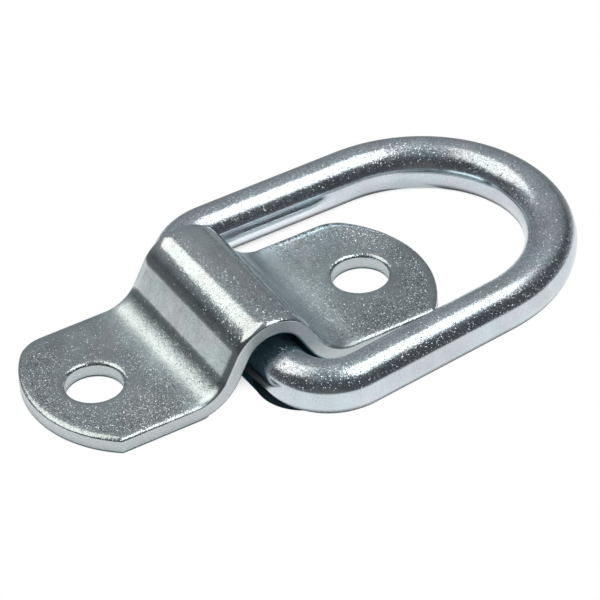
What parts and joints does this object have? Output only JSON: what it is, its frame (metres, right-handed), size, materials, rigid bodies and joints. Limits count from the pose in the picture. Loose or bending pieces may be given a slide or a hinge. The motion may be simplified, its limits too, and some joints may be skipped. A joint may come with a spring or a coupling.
{
  "type": "bolt-on d-ring",
  "caption": "Bolt-down lashing ring: a welded wire D-ring that swings freely under a bent steel strap with a bolt hole in each ear.",
  "frame": {"origin": "on the mounting face, midway between the two bolt holes, under the middle of the hump", "axes": "+X along the strap towards the ear that the ring lies round at rest, +Y along the ring's bar towards the ears' rounded corners, +Z away from the panel"},
  "size_m": [0.0718, 0.0414, 0.01],
  "materials": {
    "plated_strap": "bright zinc plate over rolled strip",
    "plated_wire": "bright zinc plate over drawn wire"
  },
  "bodies": {
    "strap": {"mounting_strap": "plated_strap"},
    "ring": {"d_ring": "plated_wire"}
  },
  "joints": [
    {"name": "ring_swing", "type": "hinge", "parent": "strap", "child": "ring", "pos_m": [0, -0.0014, 0.00317], "axis": [0.0576, -0.9983, 0], "range_deg": [0, 180]}
  ]
}
